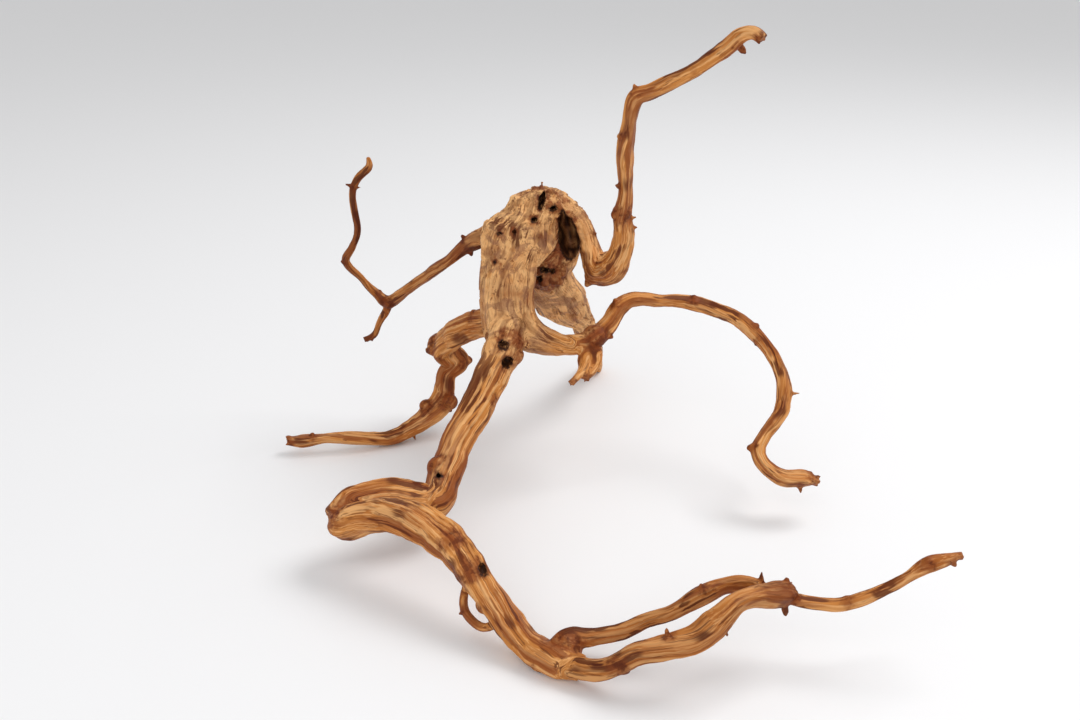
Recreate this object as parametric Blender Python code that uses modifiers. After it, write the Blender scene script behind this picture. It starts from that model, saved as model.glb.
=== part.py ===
# Spiderwood root: a branching driftwood root that stands on three low points.
# Metres, +Z up, +X to the right of the front view. The origin is on the table, under the middle of the box.

import math

import bmesh
import bpy
from mathutils import Matrix, Vector, noise

MM = 0.001
NODE = "spiderwood_root"

RING_SIDES = 20
RING_STEP = (3.6, 6.5)
STEP_PER_THICKNESS = 0.9
WELD_DISTANCE = 0.00001
FLUTE_SHARE = 1.5
OVAL_SHARE = 0.6
LUMP_HEIGHT = 0.07
LUMP_SCALE = 75.0
LUMP_ROW = 7.0
SHARP_ANGLE = math.radians(40)

# Nubs, splinters and crest spikes are blunt cones that start inside the wood they stand on.
SPIKE_SIDES = 5
SPIKE_BLUNTNESS = 0.25
NUB_START = 0.45
SPLINTER_ROOT = 2.5
SPLINTER_RING = 0.35
SPLINTER_WIDTH = 0.42
SPLINTER_UNEVENNESS = 0.25
LUMP_DETAIL = 2

WOOD_COLOUR = (0.42, 0.20, 0.07, 1.0)
WOOD_ROUGHNESS = 0.55

# Each limb is a route of (x, y, z, thickness) in millimetres, where thickness is half the width there.
# flutes counts the lobes round the limb, depth is how far they stand out, and twist is degrees per 100 mm.
# nubs are broken-off twigs: (place along the route, direction, length, half width at the root).
# splinters are the broken fibres of an end: (count, length, spread).
LIMBS = {
    "stem": {
        "route": [
            (-28, 33, 100, 10.5), (-34, 19, 80, 10.5), (-44, 0, 62, 9.5), (-56, -22, 45, 9),
            (-63, -42, 32, 8.5), (-66, -53, 26, 8.5), (-71, -58, 25, 8.5),
        ],
        "flutes": 5, "depth": 0.05, "twist": 50,
        "nubs": [(2, (0.6, -0.8, -0.2), 0.8, 3)],
    },
    "loop_back": {
        "route": [
            (-64, -53, 27, 8), (-80, -60, 30, 9), (-95, -65, 33, 9.5), (-106, -70, 32, 9.5),
            (-113, -79, 28, 8.5),
        ],
        "flutes": 4, "depth": 0.10, "twist": 60,
    },
    "loop_front": {
        "route": [
            (-112, -75, 29, 8.5), (-109, -81, 28, 8.5), (-98, -84, 34, 8.5), (-85, -88, 38, 8.5),
            (-71, -96, 39, 8.5), (-58, -106, 36, 8), (-47, -117, 30, 7.5), (-37, -129, 22, 7),
            (-28, -139, 14, 7), (-18, -149, 8, 7), (-6, -157, 7, 7), (5, -162, 7, 5.5),
        ],
        "flutes": 4, "depth": 0.09, "twist": 80,
        "nubs": [
            (5.2, (0.5, -0.7, 0.5), 1, 4), (7.2, (-0.7, -0.5, -0.3), 0.8, 3),
            (9.3, (0.2, -0.6, -0.7), 1, 3),
        ],
    },
    "lower_strand": {
        "route": [
            (-6, -158, 7, 6), (3, -163, 8, 5.5), (13, -167, 10, 5), (22, -169, 16, 5), (28, -170, 21, 5),
            (38, -170, 24, 5), (50, -169, 27, 5.5), (60, -168, 35, 5.5), (69, -164, 41, 4.5),
            (78, -157, 40, 4.5), (87, -151, 37, 5), (93, -147, 35, 5), (97, -145, 34, 3.5),
        ],
        "flutes": 4, "depth": 0.10, "twist": 90,
        "nubs": [
            (5.3, (-0.2, 0, 1), 3, 1.5), (7.3, (0.3, -0.2, -1), 3, 1.5), (3, (-0.3, -0.8, -0.4), 0.6, 3),
            (11.2, (0, 0.1, 1), 2, 2), (11, (0.1, -0.3, -1), 4, 2), (11.4, (0.1, 0, -1), 3, 1.2),
        ],
        "splinters": (4, 1.5, 0.9),
    },
    "upper_strand": {
        "route": [
            (-9, -155, 8, 6), (-1, -150, 12, 5), (9, -147, 11, 4), (22, -147, 14, 3.5),
            (33, -148, 21, 3.5), (45, -151, 29, 3.5), (57, -151, 37, 4), (68, -147, 39, 3.5),
            (77, -145, 39, 3.5), (85, -146, 37, 2.5), (88, -147, 35, 2),
        ],
        "flutes": 3, "depth": 0.12, "twist": 60,
        "nubs": [(6, (-0.2, 0.1, 1), 1.2, 1.5), (8.7, (0, 0.1, 1), 3, 1.2)],
    },
    "thin_branch": {
        "route": [
            (90, -145, 35, 4.5), (98, -147, 32, 3), (107, -149, 31, 3), (116, -150, 31, 3),
            (126, -151, 35, 3), (136, -150, 40, 2.5), (145, -149, 45, 2.5), (153, -148, 50, 3.5),
            (160, -147, 52, 3), (165, -146, 53, 2), (168, -145, 53, 1.5),
        ],
        "flutes": 3, "depth": 0.10, "twist": 40,
        "nubs": [
            (7, (-0.1, -0.2, 1), 0.8, 2.2), (8.4, (0.6, -0.3, -0.7), 1.5, 1.8),
            (3.4, (0, 0.2, 1), 0.4, 1.6),
        ],
        "splinters": (3, 1, 0.3),
    },
    "twig": {
        "route": [
            (-46, -119, 24, 3), (-48, -124, 15, 2), (-46, -131, 11, 2), (-40, -138, 10, 2),
            (-34, -138, 11, 2), (-29, -135, 14, 2.5),
        ],
        "flutes": 3, "depth": 0.05, "twist": 0,
        "nubs": [(1.7, (-0.9, -0.2, -0.3), 1.2, 1.2)],
    },
    "arch": {
        "route": [
            (-29, 28, 88, 10.5), (-18, 26, 83, 8), (-4, 25, 80, 6.5), (8, 27, 80, 6), (17, 29, 82, 6),
            (25, 33, 88, 5), (32, 38, 97, 4.5), (41, 42, 101, 4), (56, 48, 98, 3.5), (76, 52, 95, 4),
            (92, 45, 92, 4), (104, 37, 88, 4), (116, 25, 77, 4), (122, 11, 66, 4), (120, -4, 54, 4),
            (109, -15, 43, 3.5), (105, -20, 37, 4), (108, -26, 31, 4), (118, -30, 26, 4.5),
            (129, -30, 25, 4.5), (137, -29, 23, 1.5),
        ],
        "flutes": 4, "depth": 0.09, "twist": 60,
        "nubs": [
            (6, (-0.5, 0.1, 1), 1.5, 2.4), (9, (0.1, 0, 1), 0.8, 2.4), (11.3, (0.6, 0, 0.8), 0.8, 1.8),
            (13.5, (1, 0, 0), 3.5, 1), (15.8, (-1, 0, 0), 1.5, 2.2), (18.7, (0.2, -0.2, -1), 3, 2),
            (19.2, (0.4, 0.1, 1), 0.6, 2), (11.6, (-0.5, -0.3, -0.7), 0.6, 1.4),
            (4.6, (0.9, -0.5, -0.3), 1.5, 2.4), (3.9, (0.6, -0.5, -0.9), 1, 2.4),
        ],
        "splinters": (2, 1, 0.3),
    },
    "claw_left": {
        "route": [(14, 27, 80, 4.5), (12, 20, 74, 3.5), (11, 14, 70, 2.5), (8, 8, 68, 2), (4, 3, 66, 1.5)],
        "flutes": 3, "depth": 0.10, "twist": 0,
        "splinters": (2, 1, 0.4),
    },
    "claw_right": {
        "route": [
            (17, 28, 80, 5), (18, 24, 75, 4), (17, 19, 70, 3.5), (14, 13, 67, 2.5), (12, 10, 65, 1.5),
        ],
        "flutes": 3, "depth": 0.12, "twist": 0,
        "splinters": (2, 1, 0.4),
    },
    "high_limb": {
        "route": [
            (-12, 44, 156, 7), (-3, 46, 155, 6.5), (5, 46, 151, 6), (9, 45, 146, 5.5), (13, 44, 138, 5.5),
            (16, 41, 128, 6.5), (19, 37, 120, 8), (26, 34, 123, 8), (30, 31, 131, 6), (32, 28, 143, 5.5),
            (31, 25, 155, 5), (32, 22, 168, 4), (31, 18, 190, 4.5), (33, 14, 208, 4), (36, 13, 219, 4.5),
            (44, 11, 223, 4), (60, 4, 233, 3.5), (76, -4, 246, 4), (82, -8, 252, 3.5), (87, -11, 254, 3),
            (91, -14, 251, 2.5),
        ],
        "flutes": 3, "depth": 0.13, "twist": 50,
        "nubs": [
            (6, (-0.7, -0.1, -1), 2.4, 2.4), (7.2, (1, -0.1, -0.3), 1.2, 2),
            (4, (1, -0.1, 0.3), 0.8, 1.4), (9.7, (1, -0.1, 0.4), 2.4, 1.5), (9.4, (1, 0.1, 0), 2, 1.5),
            (10, (-1, -0.1, 0.2), 1, 3), (11.2, (-1, 0, 0.1), 1, 1.4), (12.5, (-1, 0, 0), 0.8, 1.8),
            (14, (-0.3, 0, 1), 2.4, 2), (17.5, (0.7, 0, -0.8), 3.5, 2.2), (16.2, (0.2, 0, -1), 0.4, 1.4),
        ],
        "splinters": (3, 1.2, 0.5),
    },
    "left_limb": {
        "route": [
            (-33, 44, 145, 7), (-46, 50, 136, 5), (-54, 55, 130, 4.5), (-64, 60, 120, 3.5),
            (-75, 66, 110, 3.5), (-89, 75, 98, 3), (-105, 83, 84, 4), (-113, 86, 88, 3),
            (-121, 83, 99, 2), (-129, 81, 110, 2.5), (-124, 78, 121, 2), (-120, 75, 132, 2),
            (-121, 71, 152, 2), (-117, 67, 164, 2), (-110, 65, 172, 2), (-110, 64, 178, 1),
        ],
        "flutes": 3, "depth": 0.09, "twist": 60,
        "nubs": [
            (2, (-0.7, 0, 1), 1.6, 1.8), (2, (0.3, -0.2, -1), 2.2, 2.2), (6.9, (0.4, 0, 0.9), 0.6, 1.4),
            (9, (-1, 0, 0.2), 1, 1.4), (12.6, (-1, 0.1, 0.2), 2.6, 1.2), (12.5, (1, 0, 0.1), 1.8, 0.8),
        ],
    },
    "left_fork": {
        "route": [
            (-105, 83, 84, 3.5), (-108, 84, 77, 2.5), (-113, 87, 68, 2), (-117, 89, 60, 2),
            (-123, 91, 56, 1.5),
        ],
        "flutes": 3, "depth": 0.08, "twist": 0,
        "nubs": [(3.1, (-0.2, -0.1, -1), 1.5, 1.2)],
        "splinters": (2, 1, 0.6),
    },
    "leg": {
        "route": [
            (-29, 48, 88, 9.5), (-43, 56, 83, 8), (-56, 66, 74, 8), (-68, 76, 62, 8.5), (-73, 82, 54, 8),
            (-69, 84, 48, 7.5), (-65, 84, 44, 6.5), (-72, 83, 37, 5.5), (-73, 79, 29, 6),
            (-75, 74, 20, 7), (-83, 69, 13, 6), (-93, 63, 8, 5), (-105, 56, 4, 4.5), (-117, 51, 6, 4),
            (-130, 48, 9, 4), (-143, 46, 10, 3), (-156, 45, 9, 4), (-166, 44, 9, 2.5),
        ],
        "flutes": 3, "depth": 0.14, "twist": 60,
        "nubs": [
            (3.7, (-1, 0, -0.3), 3, 4), (1.5, (-0.4, 0, 1), 0.8, 3), (6, (1, 0, 0.1), 2.2, 3.5),
            (9, (0.8, -0.1, -0.7), 1.5, 2.2), (11, (0.3, -0.4, -0.8), 2.5, 1.2),
            (15.6, (0.1, -0.2, 1), 0.8, 1.6),
        ],
        "splinters": (4, 1.6, 0.4),
    },
    "brow": {
        "route": [
            (-15, 34, 150, 2.5), (-19, 31, 125, 3.5), (-20, 28, 106, 3.5), (-18, 24, 94, 4),
            (-8, 22, 86, 4), (6, 23, 81, 3.5),
        ],
        "flutes": 3, "depth": 0.08, "twist": 30,
    },
    "back_root": {
        "route": [
            (14, 90, 64, 8), (18, 104, 53, 7.5), (21, 128, 37, 7), (24, 155, 16, 6.5), (25, 171, 2, 6),
        ],
        "flutes": 4, "depth": 0.06, "twist": 30,
    },
}

# The trunk is two masses grown together: (x, y, z, half width, half depth, turn in degrees) in millimetres.
# The plate stands in front on the left, and the lobe behind it leans down into the back root.
TRUNK = {
    "plate": [
        (-31, 28, 80, 12.0, 10.0, 0), (-32, 31, 90, 13.4, 10.5, 0), (-33, 33, 102, 13.6, 11.0, -4),
        (-33, 34, 112, 13.4, 11.5, -6), (-32, 35, 118, 14.0, 12.0, -2), (-29, 38, 125, 16.8, 12.2, 8),
        (-25, 40, 132, 20.5, 12.5, 16), (-23, 42, 140, 22.5, 13.0, 19), (-22, 42, 148, 21.5, 13.0, 19),
        (-16, 43, 155, 16.0, 11.0, 18), (-15, 43, 161, 14.0, 8.5, 14), (-12, 42, 166, 5.5, 4.5, 0),
    ],
    "lobe": [
        (16, 95, 58, 6.8, 8.0, 0), (15, 91, 64, 7.4, 8.5, 0), (13, 88, 68, 8.8, 9.5, 0),
        (7, 85, 73, 14.0, 12.0, 0), (2, 80, 79, 16.5, 13.5, 0), (-1, 76, 87, 17.2, 14.5, 0),
        (-5, 72, 95, 19.0, 16.0, 0), (-11, 67, 103, 19.6, 17.0, 0), (-14, 63, 111, 19.0, 17.0, 0),
        (-11, 61, 118, 20.0, 17.0, 0), (-7, 60, 130, 19.0, 17.0, 0), (-6, 58, 145, 18.0, 15.5, 0),
        (-7, 54, 156, 12.5, 11.0, 0), (-9, 49, 163, 7.0, 6.0, 0),
    ],
}
TRUNK_SIDES = 24
TRUNK_FLUTES = 7
TRUNK_FLUTE_DEPTH = 0.035
TRUNK_FLUTE_TURN = 0.03

# Crumbled crest along the broken top: (x, y, z, direction, length, half width).
CREST_SPIKES = [
    (-20, 40, 161, (-0.4, 0, 1), 2, 2.8), (-15, 41, 164, (-0.3, -0.1, 1), 4, 2.6),
    (-12, 41, 165, (0, 0, 1), 4.5, 2.4), (-9, 40, 162, (0.3, -0.2, 1), 4, 2.4),
    (-4, 42, 159, (0.4, -0.1, 1), 3, 2.4), (0, 43, 156, (0.4, -0.1, 1), 3, 2.2),
    (-8, 36, 158, (0.2, -0.7, 0.7), 3, 2.2), (-3, 38, 156, (0.3, -0.7, 0.6), 3, 2.2),
    (1, 40, 152, (0.4, -0.7, 0.5), 3, 2), (9, 45, 148, (0.8, -0.2, 0.8), 3, 2.2),
]

# Lumps that stand out of the limbs: (x, y, z, half sizes along X, Y, Z).
KNOTS = [
    (-31, 19, 84, 8, 7, 8), (-28, 17, 77, 6, 6, 6), (-66, -38, 36, 7, 6, 7),
    (-44, -121, 28, 7.5, 7.5, 6.5), (-2, -152, 9, 8, 7, 7), (92, -147, 34, 5.5, 5.5, 5),
    (18, 28, 84, 7, 6.5, 6.5), (-75, 84, 55, 8.5, 8.5, 8), (-105, 83, 84, 4, 5, 4),
    (31, 25, 157, 5.5, 5.5, 5), (-109, -78, 28, 9, 9, 9), (-9, 50, 113, 9.5, 6.5, 8.5),
    (18, 37, 117, 6, 5.5, 5), (-9, 51, 127, 10, 9, 11), (-14, 45, 117, 3, 3, 3.5),
    (-10, 45, 110, 3.5, 3, 2.5), (-3, 46, 110, 3.5, 3, 2.5), (0, 48, 116, 2.5, 3, 3.5),
    (-6, 46, 121, 4, 3, 2), (-70, 71, 22, 5.5, 5, 5), (-84, 70, 20, 4.5, 4.5, 4),
]

# Hollows are cut in: (x, y, z, half sizes along X, Y, Z, lean in degrees about Y).
HOLLOWS = [
    (3, 45, 137, 6, 17, 16, -11), (-10, 43, 118, 2.8, 6, 1.8, 0), (-6, 43, 117, 1.4, 6, 1.4, 0),
    (-13, 44, 113, 1.6, 6, 2.2, 0), (-12, 35, 161, 1.6, 8, 4.5, 15), (-6, 36, 156, 2, 7, 1.6, 0),
    (-16, 29, 151, 1.8, 7, 1.2, 0), (-35, 24, 144, 2.2, 6, 0.9, 15), (-27, 25, 145, 1.1, 6, 1, 0),
    (-38, 22, 128, 1.2, 6, 0.8, 0), (0, 36, 150, 1.8, 8, 5, -11), (-33, 10, 86, 2.8, 6, 2.2, 0),
    (-31, 7, 77, 3.4, 6, 3.4, 0), (-65, -46, 37, 2, 5, 1.8, 0), (-39, -127, 33, 1.4, 5, 2.4, -30),
]
GROUND_BLOCK = (0.5, 0.5, 0.02)

# The joined limbs are skinned over at this cell size, which blends each limb into the next like grown wood.
SKIN_CELL = 1.0 * MM
SKIN_SMOOTHING = 0.5
SKIN_PASSES = 2
SKIN_TRIANGLES = 9000


def clear_scene():
    for item in list(bpy.data.objects):
        bpy.data.objects.remove(item, do_unlink=True)


def new_collection(name):
    collection = bpy.data.collections.new(name)
    bpy.context.scene.collection.children.link(collection)
    return collection


def wood_material():
    material = bpy.data.materials.new("weathered_wood")
    material.use_nodes = True
    shader = material.node_tree.nodes["Principled BSDF"]
    shader.inputs["Base Color"].default_value = WOOD_COLOUR
    shader.inputs["Roughness"].default_value = WOOD_ROUGHNESS
    shader.inputs["Metallic"].default_value = 0.0
    return material


def smooth_point(route, place):
    """The point and half thickness at a place along a route, on a Catmull-Rom curve through its points."""
    last = len(route) - 1
    index = min(int(place), last - 1)
    part = place - index
    before = Vector(route[max(index - 1, 0)])
    start = Vector(route[index])
    end = Vector(route[index + 1])
    after = Vector(route[min(index + 2, last)])
    bend = 2 * before - 5 * start + 4 * end - after
    cube = 3 * start - before - 3 * end + after
    return 0.5 * (2 * start + (end - before) * part + bend * part * part + cube * part ** 3)


def sampled(route):
    """Rings along the route, closer together where it is thin."""
    rings = []
    for index in range(len(route) - 1):
        start = Vector(route[index])
        end = Vector(route[index + 1])
        length = (end.xyz - start.xyz).length
        thin = min(start.w, end.w)
        step = min(max(thin * STEP_PER_THICKNESS, RING_STEP[0]), RING_STEP[1])
        count = max(1, round(length / step))
        for part in range(count):
            rings.append(smooth_point(route, index + part / count))
    rings.append(Vector(route[-1]))
    return rings


def fluted_profile(name, flutes, depth, collection):
    curve = bpy.data.curves.new(name + "_profile", "CURVE")
    curve.dimensions = "2D"
    spline = curve.splines.new("POLY")
    spline.points.add(RING_SIDES - 1)
    for side, point in enumerate(spline.points):
        angle = 2 * math.pi * side / RING_SIDES
        flute = FLUTE_SHARE * math.cos(flutes * angle)
        reach = 1 + depth * (flute + OVAL_SHARE * math.cos(2 * angle + 1))
        point.co = (reach * math.cos(angle), reach * math.sin(angle), 0, 1)
    spline.use_cyclic_u = True
    profile = bpy.data.objects.new(name + "_profile", curve)
    collection.objects.link(profile)
    return profile


def solid_from_curve(curve_object, name, collection):
    graph = bpy.context.evaluated_depsgraph_get()
    mesh = bpy.data.meshes.new_from_object(curve_object.evaluated_get(graph))
    build = bmesh.new()
    build.from_mesh(mesh)
    bmesh.ops.remove_doubles(build, verts=build.verts, dist=WELD_DISTANCE)
    bmesh.ops.recalc_face_normals(build, faces=build.faces)
    bmesh.ops.triangulate(build, faces=[face for face in build.faces if len(face.verts) > 4])
    build.to_mesh(mesh)
    build.free()
    solid = bpy.data.objects.new(name, mesh)
    solid.matrix_world = curve_object.matrix_world
    collection.objects.link(solid)


def limb(name, form, collection):
    """A twisting, fluted limb, swept along its route."""
    rings = sampled(form["route"])
    profile = fluted_profile(name, form["flutes"], form["depth"], collection)
    curve = bpy.data.curves.new(name, "CURVE")
    curve.dimensions = "3D"
    curve.bevel_mode = "OBJECT"
    curve.bevel_object = profile
    curve.use_fill_caps = True
    spline = curve.splines.new("POLY")
    spline.points.add(len(rings) - 1)
    along = 0.0
    for index, ring in enumerate(rings):
        if index:
            along += (ring.xyz - rings[index - 1].xyz).length
        lump = noise.noise(Vector((along, LUMP_ROW * len(name), 0)) * LUMP_SCALE * MM)
        point = spline.points[index]
        point.co = (*(ring.xyz * MM), 1)
        point.radius = ring.w * MM * (1 + LUMP_HEIGHT * lump)
        point.tilt = math.radians(form["twist"] * along / 100)
    guide = bpy.data.objects.new(name + "_guide", curve)
    collection.objects.link(guide)
    solid_from_curve(guide, name, collection)
    bpy.data.objects.remove(guide)
    bpy.data.objects.remove(profile)


def spike(name, base, direction, length, half_width, collection):
    """A blunt cone in millimetres, from its base along a direction."""
    build = bmesh.new()
    foot = half_width * MM
    bmesh.ops.create_cone(
        build, cap_ends=True, segments=SPIKE_SIDES, radius1=foot, radius2=foot * SPIKE_BLUNTNESS,
        depth=length * MM,
    )
    turn = Vector(direction).to_track_quat("Z", "Y").to_matrix().to_4x4()
    lift = Matrix.Translation((0, 0, length * MM / 2))
    bmesh.ops.transform(build, matrix=Matrix.Translation(Vector(base) * MM) @ turn @ lift, verts=build.verts)
    mesh = bpy.data.meshes.new(name)
    build.to_mesh(mesh)
    build.free()
    solid = bpy.data.objects.new(name, mesh)
    collection.objects.link(solid)


def nubs(name, form, collection):
    for index, (place, direction, length, half_width) in enumerate(form.get("nubs", [])):
        ring = smooth_point(form["route"], place)
        outward = Vector(direction).normalized()
        base = ring.xyz + outward * ring.w * NUB_START
        reach = ring.w * (1 - NUB_START) + length
        spike(f"{name}_nub_{index}", base, outward, reach, half_width, collection)


def splinters(name, form, collection):
    count, length, spread = form.get("splinters", (0, 0, 0))
    end = Vector(form["route"][-1])
    before = Vector(form["route"][-2])
    forward = (end.xyz - before.xyz).normalized()
    side = forward.orthogonal().normalized()
    for index in range(count):
        around = Matrix.Rotation(2 * math.pi * (index + 0.3) / count, 3, forward) @ side
        direction = forward + spread * around
        base = end.xyz + around * before.w * SPLINTER_RING - forward * SPLINTER_ROOT
        reach = SPLINTER_ROOT + length * (1 - SPLINTER_UNEVENNESS * (index % 2))
        spike(f"{name}_splinter_{index}", base, direction, reach, before.w * SPLINTER_WIDTH, collection)


def mass(name, sections, collection):
    """A mass of the trunk, lofted through its unlike sections."""
    build = bmesh.new()
    rings = []
    for x, y, z, half_width, half_depth, turn in sections:
        ring = []
        for side in range(TRUNK_SIDES):
            angle = 2 * math.pi * side / TRUNK_SIDES
            reach = 1 + TRUNK_FLUTE_DEPTH * math.cos(TRUNK_FLUTES * angle + TRUNK_FLUTE_TURN * z)
            offset = Vector((half_width * math.cos(angle), half_depth * math.sin(angle), 0)) * reach
            offset.rotate(Matrix.Rotation(math.radians(turn), 3, "Z"))
            ring.append(build.verts.new((Vector((x, y, z)) + offset) * MM))
        rings.append(ring)
    for lower, upper in zip(rings, rings[1:]):
        for side in range(TRUNK_SIDES):
            after = (side + 1) % TRUNK_SIDES
            build.faces.new((lower[side], lower[after], upper[after], upper[side]))
    build.faces.new(list(reversed(rings[0])))
    build.faces.new(rings[-1])
    mesh = bpy.data.meshes.new(name)
    build.to_mesh(mesh)
    build.free()
    solid = bpy.data.objects.new(name, mesh)
    collection.objects.link(solid)
    return solid


def ellipsoid(name, centre, half_sizes, lean, collection):
    build = bmesh.new()
    bmesh.ops.create_icosphere(build, subdivisions=LUMP_DETAIL, radius=1)
    shape = Matrix.Diagonal((*[size * MM for size in half_sizes], 1))
    place = Matrix.Translation(Vector(centre) * MM) @ Matrix.Rotation(math.radians(lean), 4, "Y")
    bmesh.ops.transform(build, matrix=place @ shape, verts=build.verts)
    mesh = bpy.data.meshes.new(name)
    build.to_mesh(mesh)
    build.free()
    solid = bpy.data.objects.new(name, mesh)
    collection.objects.link(solid)


def cutters(collection):
    for index, (x, y, z, *sizes, lean) in enumerate(HOLLOWS):
        ellipsoid(f"hollow_{index}", (x, y, z), sizes, lean, collection)
    bpy.ops.mesh.primitive_cube_add(size=1, location=(0, 0, -GROUND_BLOCK[2] / 2))
    block = bpy.context.object
    block.name = "ground_cut"
    block.scale = GROUND_BLOCK
    for owner in list(block.users_collection):
        owner.objects.unlink(block)
    collection.objects.link(block)
    for cutter in collection.objects:
        cutter.hide_render = True
        cutter.display_type = "WIRE"


def apply_modifier(target, modifier):
    with bpy.context.temp_override(object=target, active_object=target):
        bpy.ops.object.modifier_apply(modifier=modifier.name)


def combine(target, collection, operation):
    """Joins or cuts the target with all of a collection, and then removes the collection's objects."""
    boolean = target.modifiers.new(operation.lower(), "BOOLEAN")
    boolean.operation = operation
    boolean.solver = "MANIFOLD"
    boolean.operand_type = "COLLECTION"
    boolean.collection = collection
    apply_modifier(target, boolean)
    for item in list(collection.objects):
        bpy.data.objects.remove(item, do_unlink=True)
    bpy.data.collections.remove(collection)


def grow_skin(target):
    """Skins over the joined limbs, so that they flow into each other, and keeps few enough faces."""
    skin = target.modifiers.new("skin", "REMESH")
    skin.mode = "VOXEL"
    skin.voxel_size = SKIN_CELL
    apply_modifier(target, skin)
    smooth = target.modifiers.new("smooth", "SMOOTH")
    smooth.factor = SKIN_SMOOTHING
    smooth.iterations = SKIN_PASSES
    apply_modifier(target, smooth)
    fewer = target.modifiers.new("fewer", "DECIMATE")
    target.data.calc_loop_triangles()
    fewer.ratio = SKIN_TRIANGLES / len(target.data.loop_triangles)
    fewer.use_collapse_triangulate = True
    apply_modifier(target, fewer)


def build_root():
    clear_scene()
    home = new_collection("spiderwood")
    limbs = new_collection("limbs")
    twigs = new_collection("twigs")
    tools = new_collection("cutters")
    root = mass(NODE, TRUNK["plate"], home)
    mass("lobe", TRUNK["lobe"], limbs)
    for name, form in LIMBS.items():
        limb(name, form, limbs)
        nubs(name, form, limbs)
        splinters(name, form, twigs)
    for index, (x, y, z, *sizes) in enumerate(KNOTS):
        ellipsoid(f"knot_{index}", (x, y, z), sizes, 0, limbs)
    for index, (x, y, z, direction, length, half_width) in enumerate(CREST_SPIKES):
        spike(f"crest_{index}", (x, y, z), direction, length, half_width, twigs)
    combine(root, limbs, "UNION")
    grow_skin(root)
    combine(root, twigs, "UNION")
    cutters(tools)
    combine(root, tools, "DIFFERENCE")
    root.data.materials.clear()
    root.data.materials.append(wood_material())
    root.data.shade_smooth()
    root.data.set_sharp_from_angle(angle=SHARP_ANGLE)


build_root()
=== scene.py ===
import math

import bmesh
import bpy
import numpy as np
from mathutils import Matrix, Vector


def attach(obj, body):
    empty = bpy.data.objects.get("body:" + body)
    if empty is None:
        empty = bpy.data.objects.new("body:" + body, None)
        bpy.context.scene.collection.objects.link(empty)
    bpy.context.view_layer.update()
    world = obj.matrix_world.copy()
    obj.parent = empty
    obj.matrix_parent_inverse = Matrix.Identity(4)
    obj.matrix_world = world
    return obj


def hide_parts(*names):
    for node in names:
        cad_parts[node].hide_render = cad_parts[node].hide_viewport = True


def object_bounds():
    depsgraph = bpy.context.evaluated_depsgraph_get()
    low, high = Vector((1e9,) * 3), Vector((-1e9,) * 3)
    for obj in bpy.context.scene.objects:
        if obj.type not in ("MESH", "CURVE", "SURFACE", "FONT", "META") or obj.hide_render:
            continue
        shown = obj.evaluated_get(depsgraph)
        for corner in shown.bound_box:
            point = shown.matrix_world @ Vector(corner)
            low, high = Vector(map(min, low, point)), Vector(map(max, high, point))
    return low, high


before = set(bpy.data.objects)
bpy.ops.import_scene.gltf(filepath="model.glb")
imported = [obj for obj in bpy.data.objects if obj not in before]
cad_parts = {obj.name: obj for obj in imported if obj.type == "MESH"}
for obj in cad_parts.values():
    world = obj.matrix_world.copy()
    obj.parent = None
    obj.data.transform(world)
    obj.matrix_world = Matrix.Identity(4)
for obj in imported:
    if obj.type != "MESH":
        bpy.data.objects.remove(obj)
cadBox = [list(corner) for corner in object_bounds()]
millimetre = 0.001


# small helpers for node trees

def put(tree, kind, feeds=None, **settings):
    node = tree.nodes.new(kind)
    for key, value in settings.items():
        setattr(node, key, value)
    for key, value in (feeds or {}).items():
        socket = node.inputs[key]
        if isinstance(value, bpy.types.NodeSocket):
            tree.links.new(value, socket)
        else:
            socket.default_value = value
    return node


def calc(tree, operation, *values):
    return put(tree, "ShaderNodeMath", dict(enumerate(values)), operation=operation).outputs[0]


def product(tree, first, *others):
    for other in others:
        first = calc(tree, "MULTIPLY", first, other)
    return first


def vectorCalc(tree, operation, first, second):
    key = "Scale" if operation == "SCALE" else 1
    outputs = put(tree, "ShaderNodeVectorMath", {0: first, key: second}, operation=operation).outputs
    return outputs["Value" if operation == "DISTANCE" else "Vector"]


def axes(tree, vector):
    return put(tree, "ShaderNodeSeparateXYZ", {0: vector}).outputs


def spread(tree, value, fromLow, fromHigh, toLow=0.0, toHigh=1.0, style="LINEAR"):
    feeds = {0: value, 1: fromLow, 2: fromHigh, 3: toLow, 4: toHigh}
    return put(tree, "ShaderNodeMapRange", feeds, interpolation_type=style).outputs["Result"]


def noiseAt(tree, vector, scale, detail=2.0, roughness=0.5, distortion=0.0):
    return put(tree, "ShaderNodeTexNoise", {
        "Vector": vector, "Scale": scale, "Detail": detail, "Roughness": roughness, "Distortion": distortion,
    }).outputs[0]


# a noise that moves each place by up to half the amount either way
def swirl(tree, vector, scale, detail, amount):
    noise = put(tree, "ShaderNodeTexNoise", {"Vector": vector, "Scale": scale, "Detail": detail})
    centred = vectorCalc(tree, "SUBTRACT", noise.outputs["Color"], (0.5, 0.5, 0.5))
    return vectorCalc(tree, "SCALE", centred, amount)


def newGroup(name, kind, inputs, outputs):
    tree = bpy.data.node_groups.new(name, kind)
    for label, socketType, value in inputs:
        socket = tree.interface.new_socket(name=label, in_out="INPUT", socket_type=socketType)
        if value is not None:
            socket.default_value = value
    for label, socketType in outputs:
        tree.interface.new_socket(name=label, in_out="OUTPUT", socket_type=socketType)
    given = tree.nodes.new("NodeGroupInput").outputs
    result = tree.nodes.new("NodeGroupOutput").inputs
    return tree, given, result


def newShapeTree(name, inputs):
    geometry = ("Geometry", "NodeSocketGeometry")
    material = ("Material", "NodeSocketMaterial", None)
    return newGroup(name, "GeometryNodeTree", [(*geometry, None), *inputs, material], [geometry])


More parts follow.
